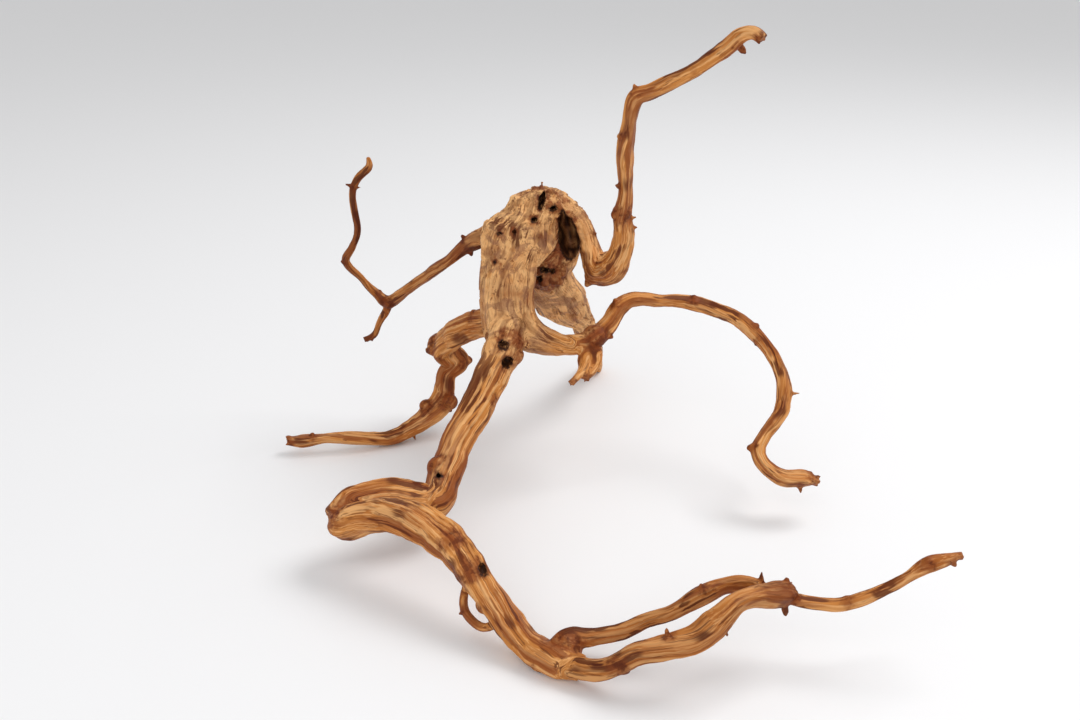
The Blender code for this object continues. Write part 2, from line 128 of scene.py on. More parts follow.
def finishShape(tree, geometry, given, result):
    real = put(tree, "GeometryNodeRealizeInstances", {0: geometry})
    feeds = {"Geometry": real.outputs[0], "Material": given["Material"]}
    tree.links.new(put(tree, "GeometryNodeSetMaterial", feeds).outputs[0], result[0])
    return tree


def named(tree, name, kind="FLOAT"):
    return put(tree, "GeometryNodeInputNamedAttribute", {"Name": name}, data_type=kind).outputs[0]


def store(tree, geometry, name, value, kind="FLOAT"):
    feeds = {"Geometry": geometry, "Name": name, "Value": value}
    return put(tree, "GeometryNodeStoreNamedAttribute", feeds, data_type=kind, domain="POINT").outputs[0]


def blurred(tree, value, passes, kind="FLOAT"):
    feeds = {"Value": value, "Iterations": passes}
    return put(tree, "GeometryNodeBlurAttribute", feeds, data_type=kind).outputs[0]


def shapeOf(tree, thing):
    return put(tree, "GeometryNodeObjectInfo", {"Object": thing}).outputs["Geometry"]


def distanceTo(tree, thing):
    feeds = {"Target": shapeOf(tree, thing)}
    return put(tree, "GeometryNodeProximity", feeds, target_element="FACES").outputs["Distance"]


# small helpers for objects

def bakedMesh(thing):
    bpy.context.view_layer.update()
    graph = bpy.context.evaluated_depsgraph_get()
    mesh = bpy.data.meshes.new_from_object(thing.evaluated_get(graph))
    thing.modifiers.clear()
    return mesh


# runs a Geometry Nodes tree on an object and returns the plain mesh
def meshFrom(thing, tree, values):
    modifier = thing.modifiers.new(tree.name, "NODES")
    modifier.node_group = tree
    for item in tree.interface.items_tree:
        if item.in_out == "INPUT" and item.name in values:
            modifier[item.identifier] = values[item.name]
    return bakedMesh(thing)


def newPiece(name, mesh):
    piece = bpy.data.objects.new(name, mesh)
    bpy.context.scene.collection.objects.link(piece)
    return piece


def builtPiece(name, build):
    mesh = bpy.data.meshes.new(name)
    build.to_mesh(mesh)
    build.free()
    return newPiece(name, mesh)


def joined(name, things):
    first = things[0]
    with bpy.context.temp_override(active_object=first, object=first, selected_editable_objects=things):
        bpy.ops.object.join()
    first.name = name
    return first


def joinedCopy(name, things):
    return joined(name, [newPiece(thing.name + "Copy", thing.data.copy()) for thing in things])


def drop(*things):
    for thing in things:
        mesh = thing.data
        bpy.data.objects.remove(thing)
        if mesh and mesh.users == 0:
            bpy.data.meshes.remove(mesh)


# camera and light

view = {"place": (-0.013, -0.537, 0.315), "tilt": 66.5, "lens": 36.0, "sensor": 36.0, "nearest": 0.01}
camera = bpy.data.objects.new("camera", bpy.data.cameras.new("camera"))
camera.data.lens = view["lens"]
camera.data.sensor_width = view["sensor"]
camera.data.clip_start = view["nearest"]
camera.location = view["place"]
camera.rotation_euler = (math.radians(view["tilt"]), 0, 0)
bpy.context.scene.collection.objects.link(camera)
bpy.context.scene.camera = camera

studio = {
    "key": {"place": (0.78, 0.22, 1.30), "size": 0.75, "watts": 10.5},
    "fill": {"place": (-0.35, -1.25, 0.95), "size": 1.3, "watts": 6.5},
    "target": (0, 0, 0.08), "world": 0.68, "white": (1, 1, 1, 1),
    "floorColour": (0.84, 0.84, 0.85, 1), "floorRoughness": 0.6, "floorSide": 8.0,
}


def softLight(name):
    form = studio[name]
    lamp = bpy.data.lights.new(name + "Light", "AREA")
    lamp.size = form["size"]
    lamp.energy = form["watts"]
    light = bpy.data.objects.new(name + "Light", lamp)
    light.location = form["place"]
    aim = Vector(studio["target"]) - Vector(form["place"])
    light.rotation_euler = aim.to_track_quat("-Z", "Y").to_euler()
    bpy.context.scene.collection.objects.link(light)


softLight("key")
softLight("fill")
world = bpy.data.worlds.new("studio")
world.use_nodes = True
background = world.node_tree.nodes["Background"]
background.inputs["Color"].default_value = studio["white"]
background.inputs["Strength"].default_value = studio["world"]
bpy.context.scene.world = world
bpy.context.scene.view_settings.view_transform = "Standard"

bpy.ops.mesh.primitive_plane_add(size=studio["floorSide"], location=(0, 0, 0))
floor = bpy.context.object
floor.name = "floor"
floorMaterial = bpy.data.materials.new("paleFloor")
floorMaterial.use_nodes = True
floorShader = floorMaterial.node_tree.nodes["Principled BSDF"]
floorShader.inputs["Base Color"].default_value = studio["floorColour"]
floorShader.inputs["Roughness"].default_value = studio["floorRoughness"]
floor.data.materials.append(floorMaterial)
print("camera, light and floor are in place")


# wood

# Colours, the depth of the fine relief, and how far the grain wavers, in millimetres. deeper darkens limbs
# that have a tone. shade and roughness are ranges of fibre noise (from, to) and what they give (from, to).
wood = {
    "tan": (0.59, 0.235, 0.055, 1), "orange": (0.41, 0.130, 0.024, 1), "gold": (0.81, 0.46, 0.195, 1),
    # hollowShadeBlack is the black of the painted shade in and round the cut hollows
    "rust": (0.230, 0.053, 0.010, 1), "streak": (0.098, 0.017, 0.003, 1), "hollowShadeBlack": (0.010, 0.004, 0.003, 1),
    "blotch": (0.245, 0.105, 0.058, 1), "deeper": (0.66, 0.55, 0.46, 1),
    "waver": 3.0, "oldWaver": 9.0, "waverSize": 22.0, "shade": (0.3, 0.7, 0.86, 1.12), "knotRust": 0.78,
    "roughness": (0.35, 0.65, 0.44, 0.62), "specular": 0.14, "reliefDepth": 0.26, "reliefStrength": 0.6,
    "fibreRelief": 0.8, "broadRelief": 0.9, "lineRelief": 0.35,
}

# Streaks along the grain: width and length in millimetres, where the soft edge starts and ends in the noise,
# a shift so that no two layers match, the share of colour, and what is left of it on the old trunk.
streaks = {
    "fibre": {"width": 0.8, "length": 42.0, "edge": (0.50, 0.64), "shift": 3.1, "share": 0.42},
    "broadFibre": {"width": 2.08, "length": 109.2, "edge": (0.50, 0.62), "shift": 11.9, "share": 0.62},
    "rust": {"width": 5.5, "length": 75.0, "edge": (0.525, 0.60), "shift": 73.1, "share": 0.78, "old": 0.62},
    "line": {"width": 1.1, "length": 60.0, "edge": (0.60, 0.66), "shift": 31.7, "share": 0.60},
    "patch": {
        "width": 4.4, "length": 50.0, "edge": (0.60, 0.635), "shift": 21.4, "share": 0.84, "old": 0.357,
    },
    "smallPatch": {"width": 2.2, "length": 25.0, "edge": (0.60, 0.65), "shift": 47.2, "share": 0.42},
    "crowd": {"width": 3.52, "length": 40.0, "edge": (0.50, 0.54), "shift": 88.3, "share": 0.85},
}
streakNoise = {"detail": 2.5, "roughness": 0.55, "distortion": 0.25}
cluster = {"size": 26.0, "detail": 2.0, "edge": (0.54, 0.62), "tone": 0.08}

# Blots without a direction: noise (scale per metre, detail, roughness, distortion), edge, range of amounts.
blots = {
    "hue": {"noise": (30.0, 2.0, 0.5, 0.0), "edge": (0.38, 0.62), "amounts": (0.0, 1.0)},
    "pale": {"noise": (120.0, 4.0, 0.62, 0.0), "edge": (0.36, 0.60), "amounts": (0.32, 0.92)},
    "copper": {"noise": (48.0, 3.0, 0.55, 0.9), "edge": (0.52, 0.62), "amounts": (0.0, 0.50)},
    "stain": {
        "noise": (62.0, 5.0, 0.62, 1.2), "edge": (0.52, 0.58), "amounts": (0.0, 0.55), "style": "SMOOTHSTEP",
    },
    "fleck": {"noise": (310.0, 3.0, 0.6, 0.0), "edge": (0.63, 0.69), "amounts": (0.0, 0.62)},
    "knot": {"noise": (260.0, 3.0, 0.6, 0.0), "edge": (0.48, 0.60), "amounts": (0.0, 0.80)},
}

# Painted light and shade on the relief by its height: painted shade in the furrows and crevices, a painted
# highlight on the ridge tops: (from, to, amount at from, amount at to).
reliefHighlightAndShade = {
    "furrowShade": (0.48, 0.18, 0.0, 0.42), "ridgeHighlight": (0.56, 0.85, 0.0, 0.28), "creviceShade": (0.46, 0.34, 0.0, 0.38),
}

# The trunk is more crumbled towards its broken top, between these heights in metres.
crown = {"heights": (0.140, 0.160), "flecks": 0.09, "pits": 0.10}


def crownwards(tree, place, most):
    return spread(tree, axes(tree, place)["Z"], *crown["heights"], 0.0, most, "SMOOTHSTEP")


# streaks drawn out along the grain: a mask of patches with soft edges, and the noise it was cut from
def streakGroup():
    vector, number = "NodeSocketVector", "NodeSocketFloat"
    tree, given, result = newGroup("grainStreaks", "ShaderNodeTree", [
        ("Grain", vector, None), ("Width", number, 2.0), ("Length", number, 16.0), ("Low", number, 0.52),
        ("High", number, 0.60), ("Shift", number, 0.0),
    ], [("Mask", number), ("Value", number)])
    across = calc(tree, "DIVIDE", 1 / millimetre, given["Width"])
    along = calc(tree, "DIVIDE", 1 / millimetre, given["Length"])
    stretch = put(tree, "ShaderNodeCombineXYZ", {"X": across, "Y": across, "Z": along}).outputs[0]
    shift = put(tree, "ShaderNodeCombineXYZ", {axis: given["Shift"] for axis in "XYZ"}).outputs[0]
    place = vectorCalc(tree, "ADD", vectorCalc(tree, "MULTIPLY", given["Grain"], stretch), shift)
    patches = noiseAt(tree, place, 1.0, **streakNoise)
    mask = spread(tree, patches, given["Low"], given["High"], style="SMOOTHSTEP")
    tree.links.new(mask, result["Mask"])
    tree.links.new(patches, result["Value"])
    return tree


# the grain wavers as it runs, most of all on the old trunk
def waverGroup():
    vector, number = "NodeSocketVector", "NodeSocketFloat"
    tree, given, result = newGroup("grainWaver", "ShaderNodeTree", [
        ("Grain", vector, None), ("Place", vector, None), ("Old", number, 0.0), ("Amount", number, 0.002),
        ("Old Amount", number, 0.008), ("Size", number, 0.016),
    ], [("Grain", vector)])
    gain = calc(tree, "SUBTRACT", given["Old Amount"], given["Amount"])
    amount = calc(tree, "MULTIPLY_ADD", given["Old"], gain, given["Amount"])
    moved = swirl(tree, given["Place"], calc(tree, "DIVIDE", 1.0, given["Size"]), 2.0, amount)
    tree.links.new(vectorCalc(tree, "ADD", given["Grain"], moved), result["Grain"])
    return tree


def mixColours(tree, amount, first, second, blend="MIX"):
    feeds = {0: amount, 6: first, 7: second}
    return put(tree, "ShaderNodeMix", feeds, data_type="RGBA", blend_type=blend).outputs[2]


def woodMaterial():
    material = bpy.data.materials.new("spiderwood")
    material.use_nodes = True
    tree = material.node_tree
    shader = tree.nodes["Principled BSDF"]
    marks = {
        name: put(tree, "ShaderNodeAttribute", attribute_name=name).outputs["Fac"]
        for name in ("weathered", "dark", "knotty", "crest", "tone")
    }
    old, crest, knotty = marks["weathered"], marks["crest"], marks["knotty"]
    place = put(tree, "ShaderNodeTexCoord").outputs["Object"]
    straight = put(tree, "ShaderNodeAttribute", attribute_name="grain").outputs["Vector"]
    grain = put(tree, "ShaderNodeGroup", {
        "Grain": straight, "Place": place, "Old": old, "Amount": wood["waver"] * millimetre,
        "Old Amount": wood["oldWaver"] * millimetre, "Size": wood["waverSize"] * millimetre,
    }, node_tree=waverGroup()).outputs[0]

    group = streakGroup()
    layers, share = {}, {}
    for name, form in streaks.items():
        low, high = form["edge"]
        layers[name] = put(tree, "ShaderNodeGroup", {
            "Grain": grain, "Width": form["width"], "Length": form["length"], "Low": low, "High": high,
            "Shift": form["shift"],
        }, node_tree=group).outputs
        share[name] = product(tree, layers[name]["Mask"], form["share"])
        if "old" in form:
            share[name] = product(tree, share[name], spread(tree, old, 0.0, 1.0, 1.0, form["old"]))
    fibre, broadFibre = layers["fibre"]["Value"], layers["broadFibre"]["Value"]

    def blot(name, added=0.0):
        form = blots[name]
        value = calc(tree, "ADD", noiseAt(tree, place, *form["noise"]), added)
        return spread(tree, value, *form["edge"], *form["amounts"], form.get("style", "LINEAR"))

    clustered = noiseAt(tree, place, 1 / (cluster["size"] * millimetre), cluster["detail"])
    clustered = calc(tree, "MULTIPLY_ADD", marks["tone"], cluster["tone"], clustered)
    crowd = product(tree, share["crowd"], spread(tree, clustered, *cluster["edge"], style="SMOOTHSTEP"))
    flecks = product(tree, blot("fleck", crownwards(tree, place, crown["flecks"])), old)
    # painted shade in the low crevices of the old trunk
    oldCreviceShade = product(tree, spread(tree, crest, *reliefHighlightAndShade["creviceShade"]), old)
    paints = [
        (calc(tree, "MAXIMUM", share["fibre"], share["broadFibre"]), "gold"),
        (share["rust"], "rust"),
        # painted shade in the furrows of the relief
        (spread(tree, crest, *reliefHighlightAndShade["furrowShade"]), "rust"),
        (product(tree, old, blot("pale")), "gold"),
        # painted highlight on the ridge tops of the relief
        (spread(tree, crest, *reliefHighlightAndShade["ridgeHighlight"]), "gold"),
        (share["line"], "streak"),
        (share["patch"], "streak"),
        (share["smallPatch"], "streak"),
        (crowd, "streak"),
        (product(tree, blot("copper"), old), "rust"),
        (product(tree, blot("stain"), old), "blotch"),
        # the trunk's own crumbled flecks towards the top, together with painted shade in the crevices of the
        # old trunk
        (calc(tree, "MAXIMUM", flecks, oldCreviceShade), "streak"),
        (product(tree, knotty, wood["knotRust"]), "rust"),
        (product(tree, knotty, blot("knot")), "streak"),
    ]
    colour = mixColours(tree, blot("hue"), wood["tan"], wood["orange"])
    for amount, paint in paints:
        colour = mixColours(tree, amount, colour, wood[paint])
    shade = spread(tree, fibre, *wood["shade"])
    shades = put(tree, "ShaderNodeCombineXYZ", {axis: shade for axis in "XYZ"}).outputs[0]
    colour = mixColours(tree, 1.0, colour, shades, "MULTIPLY")
    colour = mixColours(tree, marks["tone"], colour, wood["deeper"], "MULTIPLY")
    # painted shade: the wood turns black in and right round the cut hollows
    colour = mixColours(tree, marks["dark"], colour, wood["hollowShadeBlack"])
    tree.links.new(colour, shader.inputs["Base Color"])

    tree.links.new(spread(tree, broadFibre, *wood["roughness"]), shader.inputs["Roughness"])
    fibres = product(tree, fibre, wood["fibreRelief"])
    relief = calc(tree, "ADD", fibres, product(tree, broadFibre, wood["broadRelief"]))
    relief = calc(tree, "SUBTRACT", relief, product(tree, layers["line"]["Mask"], wood["lineRelief"]))
    bump = put(tree, "ShaderNodeBump", {
        "Strength": wood["reliefStrength"], "Distance": wood["reliefDepth"] * millimetre, "Height": relief,
    })
    tree.links.new(bump.outputs["Normal"], shader.inputs["Normal"])
    shader.inputs["Specular IOR Level"].default_value = wood["specular"]
    return material


woodLook = woodMaterial()
print("wood material is made")


# the root's limbs

# Each limb runs along points of (x, y, z, half thickness), all in millimetres. Its round has flutes, with a
# depth in shares of the thickness, and a twist in degrees per 100 mm. start is where its grain begins, so
# that it goes on from the limb before, and tone is how much darker the limb is.
# nubs are broken-off twigs: (place along the route, direction, length, half width at the foot).
# splinters are the torn fibres of an end: (count, length, spread).
limbs = {
    "stem": {
        "route": [
            (-28, 33, 100, 10.5), (-34, 19, 80, 10.5), (-44, 0, 62, 9.5), (-56, -22, 45, 9),
            (-63, -42, 32, 8.5), (-66, -53, 26, 8.5), (-71, -58, 25, 8.5),
        ],
        "flutes": 5, "depth": 0.05, "twist": 50, "start": 70,
        "nubs": [(2, (0.6, -0.8, -0.2), 0.8, 3)],
    },
    "loopBack": {
        "route": [
            (-64, -53, 27, 8), (-80, -60, 30, 9), (-95, -65, 33, 9.5), (-106, -70, 32, 9.5),
            (-113, -79, 28, 8.5),
        ],
        "flutes": 4, "depth": 0.10, "twist": 60, "start": 200,
    },
    "loopFront": {
        "route": [
            (-112, -75, 29, 8.5), (-109, -81, 28, 8.5), (-98, -84, 34, 8.5), (-85, -88, 38, 8.5),
            (-71, -96, 39, 8.5), (-58, -106, 36, 8), (-47, -117, 30, 7.5), (-37, -129, 22, 7),
            (-28, -139, 14, 7), (-18, -149, 8, 7), (-6, -157, 7, 7), (5, -162, 7, 5.5),
        ],
        "flutes": 4, "depth": 0.09, "twist": 80, "start": 275,
        "nubs": [
            (5.2, (0.5, -0.7, 0.5), 1, 4), (7.2, (-0.7, -0.5, -0.3), 0.8, 3),
            (9.3, (0.2, -0.6, -0.7), 1, 3),
        ],
    },
    "lowerStrand": {
        "route": [
            (-6, -158, 7, 6), (3, -163, 8, 5.5), (13, -167, 10, 5), (22, -169, 16, 5), (28, -170, 21, 5),
            (38, -170, 24, 5), (50, -169, 27, 5.5), (60, -168, 35, 5.5), (69, -164, 41, 4.5),
            (78, -157, 40, 4.5), (87, -151, 37, 5), (93, -147, 35, 5), (97, -145, 34, 3.5),
        ],
        "flutes": 4, "depth": 0.10, "twist": 90, "start": 465, "tone": 0.6,
        "nubs": [
            (5.3, (-0.2, 0, 1), 3, 1.5), (7.3, (0.3, -0.2, -1), 3, 1.5), (3, (-0.3, -0.8, -0.4), 0.6, 3),
            (11.2, (0, 0.1, 1), 2, 2), (11, (0.1, -0.3, -1), 4, 2), (11.4, (0.1, 0, -1), 3, 1.2),
        ],
        "splinters": (4, 1.5, 0.9),
    },
    "upperStrand": {
        "route": [
            (-9, -155, 8, 6), (-1, -150, 12, 5), (9, -147, 11, 4), (22, -147, 14, 3.5),
            (33, -148, 21, 3.5), (45, -151, 29, 3.5), (57, -151, 37, 4), (68, -147, 39, 3.5),
            (77, -145, 39, 3.5), (85, -146, 37, 2.5), (88, -147, 35, 2),
        ],
        "flutes": 3, "depth": 0.12, "twist": 60, "start": 465, "tone": 0.75,
        "nubs": [(6, (-0.2, 0.1, 1), 1.2, 1.5), (8.7, (0, 0.1, 1), 3, 1.2)],
    },
    "thinBranch": {
        "route": [
            (90, -145, 35, 4.5), (98, -147, 32, 3), (107, -149, 31, 3), (116, -150, 31, 3),
            (126, -151, 35, 3), (136, -150, 40, 2.5), (145, -149, 45, 2.5), (153, -148, 50, 3.5),
            (160, -147, 52, 3), (165, -146, 53, 2), (168, -145, 53, 1.5),
        ],
        "flutes": 3, "depth": 0.10, "twist": 40, "start": 610, "tone": 0.15,
        "nubs": [
            (7, (-0.1, -0.2, 1), 0.8, 2.2), (8.4, (0.6, -0.3, -0.7), 1.5, 1.8),
            (3.4, (0, 0.2, 1), 0.4, 1.6),
        ],
        "splinters": (3, 1, 0.3),
    },
    "twig": {
        "route": [
            (-46, -119, 24, 3), (-48, -124, 15, 2), (-46, -131, 11, 2), (-40, -138, 10, 2),
            (-34, -138, 11, 2), (-29, -135, 14, 2.5),
        ],
        "flutes": 3, "depth": 0.05, "twist": 0, "start": 400, "tone": 0.4,
        "nubs": [(1.7, (-0.9, -0.2, -0.3), 1.2, 1.2)],
    },
    "arch": {
        "route": [
            (-29, 28, 88, 10.5), (-18, 26, 83, 8), (-4, 25, 80, 6.5), (8, 27, 80, 6), (17, 29, 82, 6),
            (25, 33, 88, 5), (32, 38, 97, 4.5), (41, 42, 101, 4), (56, 48, 98, 3.5), (76, 52, 95, 4),
            (92, 45, 92, 4), (104, 37, 88, 4), (116, 25, 77, 4), (122, 11, 66, 4), (120, -4, 54, 4),
            (109, -15, 43, 3.5), (105, -20, 37, 4), (108, -26, 31, 4), (118, -30, 26, 4.5),
            (129, -30, 25, 4.5), (137, -29, 23, 1.5),
        ],
        "flutes": 4, "depth": 0.09, "twist": 60, "start": 90,
        "nubs": [
            (6, (-0.5, 0.1, 1), 1.5, 2.4), (9, (0.1, 0, 1), 0.8, 2.4), (11.3, (0.6, 0, 0.8), 0.8, 1.8),
            (13.5, (1, 0, 0), 3.5, 1), (15.8, (-1, 0, 0), 1.5, 2.2), (18.7, (0.2, -0.2, -1), 3, 2),
            (19.2, (0.4, 0.1, 1), 0.6, 2), (11.6, (-0.5, -0.3, -0.7), 0.6, 1.4),
            (4.6, (0.9, -0.5, -0.3), 1.5, 2.4), (3.9, (0.6, -0.5, -0.9), 1, 2.4),
        ],
        "splinters": (2, 1, 0.3),
    },
    "clawLeft": {
        "route": [
            (14, 27, 80, 4.5), (12, 20, 74, 3.5), (11, 14, 70, 2.5), (8, 8, 68, 2), (4, 3, 66, 1.5),
        ],
        "flutes": 3, "depth": 0.10, "twist": 0, "start": 140,
        "splinters": (2, 1, 0.4),
    },
    "clawRight": {
        "route": [
            (17, 28, 80, 5), (18, 24, 75, 4), (17, 19, 70, 3.5), (14, 13, 67, 2.5), (12, 10, 65, 1.5),
        ],
        "flutes": 3, "depth": 0.12, "twist": 0, "start": 140,
        "splinters": (2, 1, 0.4),
    },
    "highLimb": {
        "route": [
            (-12, 44, 156, 7), (-3, 46, 155, 6.5), (5, 46, 151, 6), (9, 45, 146, 5.5), (13, 44, 138, 5.5),
            (16, 41, 128, 6.5), (19, 37, 120, 8), (26, 34, 123, 8), (30, 31, 131, 6), (32, 28, 143, 5.5),
            (31, 25, 155, 5), (32, 22, 168, 4), (31, 18, 190, 4.5), (33, 14, 208, 4), (36, 13, 219, 4.5),
            (44, 11, 223, 4), (60, 4, 233, 3.5), (76, -4, 246, 4), (82, -8, 252, 3.5), (87, -11, 254, 3),
            (91, -14, 251, 2.5),
        ],
        "flutes": 3, "depth": 0.13, "twist": 50, "start": 10,
        "nubs": [
            (6, (-0.7, -0.1, -1), 2.4, 2.4), (7.2, (1, -0.1, -0.3), 1.2, 2),
            (4, (1, -0.1, 0.3), 0.8, 1.4), (9.7, (1, -0.1, 0.4), 2.4, 1.5), (9.4, (1, 0.1, 0), 2, 1.5),
            (10, (-1, -0.1, 0.2), 1, 3), (11.2, (-1, 0, 0.1), 1, 1.4), (12.5, (-1, 0, 0), 0.8, 1.8),
            (14, (-0.3, 0, 1), 2.4, 2), (17.5, (0.7, 0, -0.8), 3.5, 2.2), (16.2, (0.2, 0, -1), 0.4, 1.4),
        ],
        "splinters": (3, 1.2, 0.5),
    },
    "leftLimb": {
        "route": [
            (-33, 44, 145, 7), (-46, 50, 136, 5), (-54, 55, 130, 4.5), (-64, 60, 120, 3.5),
            (-75, 66, 110, 3.5), (-89, 75, 98, 3), (-105, 83, 84, 4), (-113, 86, 88, 3),
            (-121, 83, 99, 2), (-129, 81, 110, 2.5), (-124, 78, 121, 2), (-120, 75, 132, 2),
            (-121, 71, 152, 2), (-117, 67, 164, 2), (-110, 65, 172, 2), (-110, 64, 178, 1),
        ],
        "flutes": 3, "depth": 0.09, "twist": 60, "start": 25, "tone": 0.75,
        "nubs": [
            (2, (-0.7, 0, 1), 1.6, 1.8), (2, (0.3, -0.2, -1), 2.2, 2.2), (6.9, (0.4, 0, 0.9), 0.6, 1.4),
            (9, (-1, 0, 0.2), 1, 1.4), (12.6, (-1, 0.1, 0.2), 2.6, 1.2), (12.5, (1, 0, 0.1), 1.8, 0.8),
        ],
    },
    "leftFork": {
        "route": [
            (-105, 83, 84, 3.5), (-108, 84, 77, 2.5), (-113, 87, 68, 2), (-117, 89, 60, 2),
            (-123, 91, 56, 1.5),
        ],
        "flutes": 3, "depth": 0.08, "twist": 0, "start": 130, "tone": 0.85,
        "nubs": [(3.1, (-0.2, -0.1, -1), 1.5, 1.2)],
        "splinters": (2, 1, 0.6),
    },
    "leg": {
        "route": [
            (-29, 48, 88, 9.5), (-43, 56, 83, 8), (-56, 66, 74, 8), (-68, 76, 62, 8.5), (-73, 82, 54, 8),
            (-69, 84, 48, 7.5), (-65, 84, 44, 6.5), (-72, 83, 37, 5.5), (-73, 79, 29, 6),
            (-75, 74, 20, 7), (-83, 69, 13, 6), (-93, 63, 8, 5), (-105, 56, 4, 4.5), (-117, 51, 6, 4),
            (-130, 48, 9, 4), (-143, 46, 10, 3), (-156, 45, 9, 4), (-166, 44, 9, 2.5),
        ],
        "flutes": 3, "depth": 0.14, "twist": 60, "start": 85, "tone": 0.1,
        "nubs": [
            (3.7, (-1, 0, -0.3), 3, 4), (1.5, (-0.4, 0, 1), 0.8, 3), (6, (1, 0, 0.1), 2.2, 3.5),
            (9, (0.8, -0.1, -0.7), 1.5, 2.2), (11, (0.3, -0.4, -0.8), 2.5, 1.2),
            (15.6, (0.1, -0.2, 1), 0.8, 1.6),
        ],
        "splinters": (4, 1.6, 0.4),
    },
    "brow": {
        "route": [
            (-15, 34, 150, 2.5), (-19, 31, 125, 3.5), (-20, 28, 106, 3.5), (-18, 24, 94, 4),
            (-8, 22, 86, 4), (6, 23, 81, 3.5),
        ],
        "flutes": 3, "depth": 0.08, "twist": 30, "start": 20,
    },
    "backRoot": {
        "route": [
            (14, 90, 64, 8), (18, 104, 53, 7.5), (21, 128, 37, 7), (24, 155, 16, 6.5), (25, 171, 2, 6),
        ],
        "flutes": 4, "depth": 0.06, "twist": 30, "start": 110,
    },
}


# the crumbled crest of the trunk: (x, y, z, direction, length, half width)
crestSpikes = [
    (-20, 40, 161, (-0.4, 0, 1), 2, 2.8), (-15, 41, 164, (-0.3, -0.1, 1), 4, 2.6),
    (-12, 41, 165, (0, 0, 1), 4.5, 2.4), (-9, 40, 162, (0.3, -0.2, 1), 4, 2.4),
    (-4, 42, 159, (0.4, -0.1, 1), 3, 2.4), (0, 43, 156, (0.4, -0.1, 1), 3, 2.2),
    (-8, 36, 158, (0.2, -0.7, 0.7), 3, 2.2), (-3, 38, 156, (0.3, -0.7, 0.6), 3, 2.2),
    (1, 40, 152, (0.4, -0.7, 0.5), 3, 2), (9, 45, 148, (0.8, -0.2, 0.8), 3, 2.2),
]

# How a limb swells and sways: the small lumps are so many times finer and count for that share. lumps is the
# noise range from thinnest to thickest, and oval is the share of a plain oval in the fluted round.
swell = {"finer": 2.6, "share": 0.6, "lumps": (0.50, 1.10), "swayScale": 0.8, "oval": 0.4}


# the sweep: a fluted round that follows the guide line, with its grain written on the surface
def limbTree():
    number = "NodeSocketFloat"
    tree, given, result = newShapeTree("limbSweep", [
        ("Step", number, 0.001), ("Sides", "NodeSocketInt", 36), ("Flutes", number, 4.0),
        ("Flute Depth", number, 0.1), ("Twist", number, 10.0), ("Start", number, 0.0),
        ("Lump Depth", number, 0.08), ("Lump Size", number, 0.014), ("Sway", number, 0.001),
        ("Tone", number, 0.0),
    ])
    line = put(tree, "GeometryNodeMeshToCurve", {"Mesh": given["Geometry"]}).outputs[0]
    soft = put(tree, "GeometryNodeCurveSplineType", {"Curve": line}, spline_type="CATMULL_ROM").outputs[0]
    feeds = {"Curve": soft, "Length": given["Step"]}
    fine = put(tree, "GeometryNodeResampleCurve", feeds, mode="LENGTH").outputs[0]
    along = put(tree, "GeometryNodeSplineParameter").outputs["Length"]
    place = put(tree, "GeometryNodeInputPosition").outputs[0]
    lumps = noiseAt(tree, place, calc(tree, "DIVIDE", 1.0, given["Lump Size"]), 2.0)
    bumps = noiseAt(tree, place, calc(tree, "DIVIDE", swell["finer"], given["Lump Size"]), 1.0)
    uneven = calc(tree, "MULTIPLY_ADD", bumps, swell["share"], lumps)
    swelling = product(tree, spread(tree, uneven, *swell["lumps"], -1.0, 1.0), given["Lump Depth"])
    size = product(tree, named(tree, "thickness"), calc(tree, "ADD", swelling, 1.0))
    swayScale = calc(tree, "DIVIDE", swell["swayScale"], given["Lump Size"])
    sway = swirl(tree, place, swayScale, 1.0, given["Sway"])
    swayed = put(tree, "GeometryNodeSetPosition", {"Geometry": fine, "Offset": sway}).outputs[0]
    turn = product(tree, along, given["Twist"])
    turned = put(tree, "GeometryNodeSetCurveTilt", {"Curve": swayed, "Tilt": turn}).outputs[0]
    marked = put(tree, "GeometryNodeCaptureAttribute", {"Geometry": turned})
    marked.capture_items.new("FLOAT", "along")
    marked.capture_items.new("FLOAT", "size")
    tree.links.new(along, marked.inputs["along"])
    tree.links.new(size, marked.inputs["size"])

    circle = put(tree, "GeometryNodeCurvePrimitiveCircle", {"Resolution": given["Sides"], "Radius": 1.0})
    roundPlace = put(tree, "GeometryNodeInputPosition").outputs[0]
    rounds = put(tree, "GeometryNodeCaptureAttribute", {"Geometry": circle.outputs["Curve"]})
    rounds.capture_items.new("VECTOR", "around")
    tree.links.new(roundPlace, rounds.inputs["around"])
    parts = axes(tree, roundPlace)
    angle = calc(tree, "ARCTAN2", parts["Y"], parts["X"])
    flute = calc(tree, "COSINE", product(tree, angle, given["Flutes"]))
    oval = product(tree, calc(tree, "COSINE", calc(tree, "MULTIPLY_ADD", angle, 2.0, 1.0)), swell["oval"])
    reach = calc(tree, "MULTIPLY_ADD", calc(tree, "ADD", flute, oval), given["Flute Depth"], 1.0)
    profile = put(tree, "GeometryNodeSetPosition", {
        "Geometry": rounds.outputs[0], "Position": vectorCalc(tree, "SCALE", roundPlace, reach),
    })
    sweep = put(tree, "GeometryNodeCurveToMesh", {
        "Curve": marked.outputs[0], "Profile Curve": profile.outputs[0], "Scale": marked.outputs["size"],
        "Fill Caps": True,
    })
    around = axes(tree, rounds.outputs["around"])
    grain = put(tree, "ShaderNodeCombineXYZ", {
        "X": product(tree, around["X"], marked.outputs["size"]),
        "Y": product(tree, around["Y"], marked.outputs["size"]),
        "Z": calc(tree, "ADD", marked.outputs["along"], given["Start"]),
    }).outputs[0]
    stored = store(tree, sweep.outputs[0], "grain", grain, "FLOAT_VECTOR")
    return finishShape(tree, store(tree, stored, "tone", given["Tone"]), given, result)


